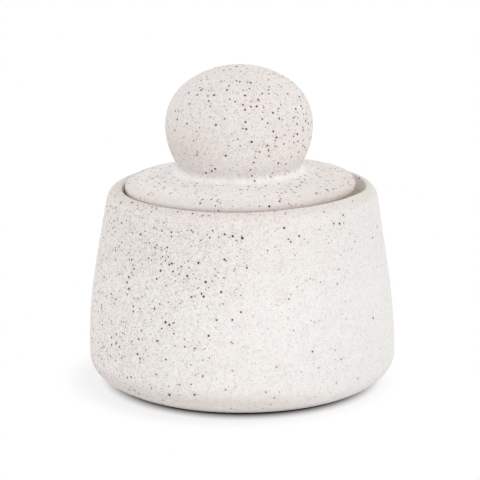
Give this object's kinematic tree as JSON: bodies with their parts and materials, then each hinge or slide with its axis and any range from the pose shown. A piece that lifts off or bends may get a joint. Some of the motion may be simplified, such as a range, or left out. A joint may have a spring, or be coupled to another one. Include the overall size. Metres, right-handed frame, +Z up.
{
  "type": "lidded jar",
  "caption": "Squat round stoneware jar, tapering up to a rounded rim, with an inset domed lid on an inner ledge and a large hollow ball knob.",
  "frame": {"origin": "on the jar's axis, in the plane that it stands on", "axes": "+Z up along the axis of the jar, lid and knob; the object is round, so +X and +Y are free"},
  "size_m": [0.115, 0.115, 0.1181],
  "materials": {
    "speckled_glaze": "matte off-white glaze with dark iron specks",
    "pooled_glaze": "satin white glaze, thick and without specks"
  },
  "bodies": {
    "jar": {"jar": "speckled_glaze"},
    "lid": {"lid": "speckled_glaze", "knob": "speckled_glaze", "knob_fillet": "pooled_glaze"}
  },
  "joints": [
    {"name": "lid_lift", "type": "slide", "parent": "jar", "child": "lid", "axis": [0, 0, 1], "range_m": [0, 0.1]}
  ]
}
